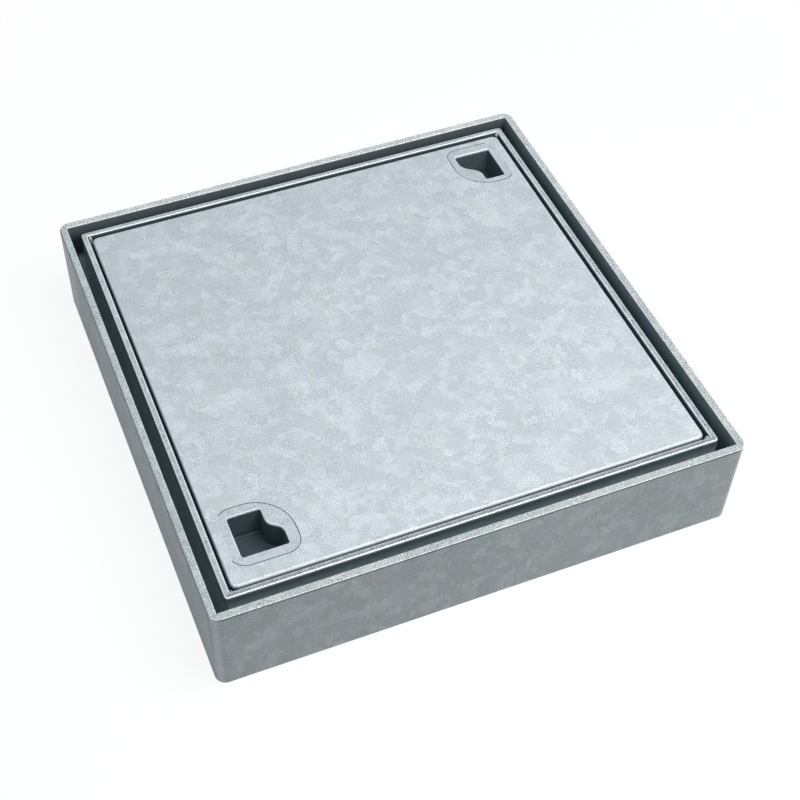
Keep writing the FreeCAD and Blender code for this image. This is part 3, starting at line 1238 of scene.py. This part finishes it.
@dataclass(frozen=True)
class PhotoCamera:
    """The camera, where the photograph's edges and corners say that it stood."""

    azimuth: float = -22.003
    elevation: float = 49.744
    roll: float = 0.615
    distance: float = 1137.9
    aim: tuple[float, float, float] = (-28.318, -27.733, 40.0)
    lens: float = 67.22
    shift: float = 0.0505
    near: float = 10.0

    def build(self) -> None:
        """Add the camera and make it the scene's."""
        data = bpy.data.cameras.new("photo_camera")
        data.lens = self.lens
        data.shift_x = self.shift
        data.clip_start = self.near * MM
        camera = add_object("photo_camera", data)
        back = direction(self.azimuth, self.elevation)
        right = UP.cross(back).normalized()
        level = Matrix((right, back.cross(right), back)).transposed()
        turned = level @ Matrix.Rotation(math.radians(self.roll), 3, "Z")
        place = (Vector(self.aim) + back * self.distance) * MM
        camera.matrix_world = Matrix.LocRotScale(place, turned.to_quaternion(), None)
        bpy.context.scene.camera = camera


def painted_slot_shading(upper: str, lower: str) -> tuple[PaintedLightZone, ...]:
    """Painted shade on a wall bar's inside, under the rim and down the slot, and painted light
    further down.
    """
    return tuple(PaintedLightZone(tone, top, fade, inset=5.6, end=16.0) for tone, top, fade in (
        (upper, 79.45, 0.8), (lower, 77.5, 13.0), ("#DCEBEE", 52.0, 10.0)))


# Hot-dip galvanised bar: a thick matt grey skin that some crystals stand out of, pale and a little
# longer upright where the zinc ran down, with a painted highlight along the rounded edges and upright
# corners, and speckled on the ground tops. A painted shadow line runs under the rim, and the slots
# get painted shade, paler further down as painted light. Weathered zinc mirrors little, so
# metallic and gloss are matched low. Real specks are a few tenths of a millimetre, and are drawn two
# to three times as coarse, so that the picture shows them.
BAR_ZINC = GalvanisedSteel(
    name="hot-dip galvanised mild steel bar",
    pale="#E3E8E8", dull="#A5ABAB", edge="#F2F5F6",
    warm="#F3F2EE", cool="#E9F3EF", rose="#F1EFF2", tint=0.55,
    crystals=Crystals(size=7.0, stretch=1.4, contrast=0.3, plain=0.4, broken=0.25,
                      streak_contrast=0.48, tilt=0.04),
    grain=Grain(size=0.9, contrast=0.7, patchiness=0.3, top_gain=3.0, depth=0.03),
    cloud_contrast=0.3, back_lightening=0.26,
    metallic=0.06, edge_metallic=0.2, roughness=0.5, gloss=0.12, highlight_gain=0.6, corner_highlight_gain=1.0,
    shadow_line_gain=0.7, seam_width=0.5,
    painted_zones=painted_slot_shading("#6C7F85", "#33474D"))

# The four bars are copies of one finish, lightened, darkened or tinted side by side as painted light
# and shade: the left wall's skin is bluer, the right one's duller and the back one's paler, and the
# slots' painted shade differs by side. A painted gleam lies at the far left corner, on both bars
# that meet in it.
FAR_LEFT = (CAD_BOX[0].x / MM, CAD_BOX[1].y / MM)
# Painted gleam: a pale tone round the far left corner's upright line.
PAINTED_CORNER_GLEAM = PaintedLightZone("#FBFEFF", top=79.0, fade=0.6, end=3.0, line=FAR_LEFT, reach=66.0, share=0.62)
BAR_METALS = {
    Side.FRONT: BAR_ZINC,
    Side.RIGHT: replace(
        BAR_ZINC, name="hot-dip galvanised mild steel bar, painted shade", pale="#DDE2E2", dull="#A0A6A6",
        painted_zones=painted_slot_shading("#93A7AD", "#3F5259")),
    Side.BACK: replace(
        BAR_ZINC, name="hot-dip galvanised mild steel bar, painted light", pale="#E6EBEB", dull="#A7ADAE",
        painted_zones=(PAINTED_CORNER_GLEAM,) + painted_slot_shading("#5A6A6F", "#223136")),
    Side.LEFT: replace(
        BAR_ZINC, name="hot-dip galvanised mild steel bar, blue grey", pale="#D9E3E6",
        dull="#9DA7AA", shadow_line_gain=0.8, shadow_line_height=79.7, shadow_line_width=(1.6, 0.64),
        shadow_line_colour="#66727A", painted_zones=(PAINTED_CORNER_GLEAM,) + painted_slot_shading("#6C7F85", "#33474D"))}

# Hot-dip galvanised flat bar: thinner than the wall bars, so it cooled faster to smaller crystals.
# A painted highlight lies on the lip's edges and its top is duller; painted shade darkens the sides
# in the slot under the rim and the lip's inner side at the cover's joint, and painted light
# makes the sides paler further down. Its specks are drawn coarser than real ones, too.
SEAT_ZINC = GalvanisedSteel(
    name="hot-dip galvanised mild steel flat",
    pale="#C3CCD0", dull="#8A9297", edge="#F2F8FA",
    warm="#F5F1EE", cool="#E8F3F2", rose="#F1F0F1", tint=0.5,
    crystals=Crystals(size=6.0, contrast=0.7, streak_contrast=0.9, tilt=0.06),
    grain=Grain(size=0.9, contrast=1.5, depth=0.04), cloud_contrast=0.2, back_lightening=0.5,
    metallic=0.15, edge_metallic=0.3, roughness=0.45, highlight_gain=0.95, corner_highlight_gain=0.3,
    seam_width=0.5,
    painted_zones=(PaintedLightZone("#889BA1", top=78.5, fade=0.8, end=20.2),
             PaintedLightZone("#6A7B81", top=77.4, fade=0.8, end=17.0),
             PaintedLightZone("#CFE6EB", top=76.5, fade=15.0, end=17.0),
             PaintedLightZone("#42565C", top=78.4, fade=1.2, inset=18.3, end=20.2)))

# The seat's bars are copies of one finish too: painted shade makes the front one the dullest and
# painted light the left one the palest.
SEAT_METALS = {
    Side.FRONT: replace(SEAT_ZINC, name="hot-dip galvanised mild steel flat, dull",
                        pale="#B6BFC3", dull="#81898E"),
    Side.RIGHT: SEAT_ZINC,
    Side.BACK: SEAT_ZINC,
    Side.LEFT: replace(SEAT_ZINC, name="hot-dip galvanised mild steel flat, pale",
                       pale="#D1DADE", dull="#959DA2")}

# Hot-dip galvanised sheet: flat and even, pale blue grey, with a close mottle of small crystals and
# fine specks, drawn coarser than real ones; a painted highlight where the folded edges round over,
# and painted shade on its sides in the joint round it.
SHEET_ZINC = GalvanisedSteel(
    name="hot-dip galvanised steel sheet",
    pale="#E3E9ED", dull="#A9B2B8", edge="#E6ECF0",
    crystals=Crystals(size=8.0, contrast=0.31, plain=0.35, broken=0.3,
                      streak_contrast=0.5, tilt=0.03),
    grain=Grain(size=0.8, contrast=1.05, depth=0.02), cloud_contrast=0.35,
    metallic=0.1, edge_metallic=0.25, roughness=0.58, gloss=0.2, highlight_gain=0.5,
    painted_zones=(PaintedLightZone("#4A5D63", top=77.4, fade=1.6, end=23.0),))

# Hot-dip galvanised casting: the sand-cast skin shows through the zinc, so crystals are faint and
# specks stronger; a little duller than the sheet, with a painted highlight on the pockets' rounded
# mouths and painted shade darkening their insides.
CAST_ZINC = GalvanisedSteel(
    name="hot-dip galvanised cast steel",
    pale="#D8DFE4", dull="#A1AAB0", edge="#E4EBEF",
    crystals=Crystals(size=7.0, contrast=0.35, streak_contrast=0.6, tilt=0.03),
    grain=Grain(size=0.9, contrast=1.2, depth=0.02), cloud_contrast=0.1,
    metallic=0.1, edge_metallic=0.2, roughness=0.6, gloss=0.2,
    painted_zones=(PaintedLightZone("#44565C", top=76.3, fade=1.0), PaintedLightZone("#313F44", top=57.0, fade=3.0)))

# A dark matt strip in the pockets' narrow seams paints the gap's shadow, so the seam reads as a line.
PAINTED_SEAM_SHADOW = MattFinish(name="zinc ash, settled", colour="#36434A", roughness=0.9, cloud=0.9,
                      detail=3.0, tone=(0.5, 1.5), depth=0.1)

# Extruded rubber: black and matt with a pale bloom, a soft line between the cover and its ledge.
EPDM_RUBBER = ExtrudedRubber(name="EPDM rubber, extruded", colour="#2A2B2C", roughness=0.75,
                             cloud=25.0, detail=4.0, tone=(0.8, 1.4), depth=0.05)


def write_sizes() -> None:
    """Build the CAD model's box and the dressed model's box, in metres, without keeping them."""
    boxes = {"cad": CAD_BOX, "visual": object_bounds()}
    {name: [list(corner) for corner in box] for name, box in boxes.items()}


def main() -> None:
    """Dress the cover from the outside in, then set up the studio and the camera."""
    logging.basicConfig(level=logging.INFO, format="%(name)s: %(message)s")
    weld = WeldBead()
    for assembly in (Surround(BAR_METALS, weld), SeatFrame(SEAT_METALS, weld),
                     Cover(SHEET_ZINC, weld), KeyPockets(CAST_ZINC, weld, PAINTED_SEAM_SHADOW),
                     Seals(EPDM_RUBBER)):
        assembly.build()
        LOG.info("built %s", type(assembly).__name__)
    Studio().build()
    PhotoCamera().build()
    bpy.context.scene.view_settings.view_transform = "Standard"
    write_sizes()


if __name__ == "__main__":
    main()
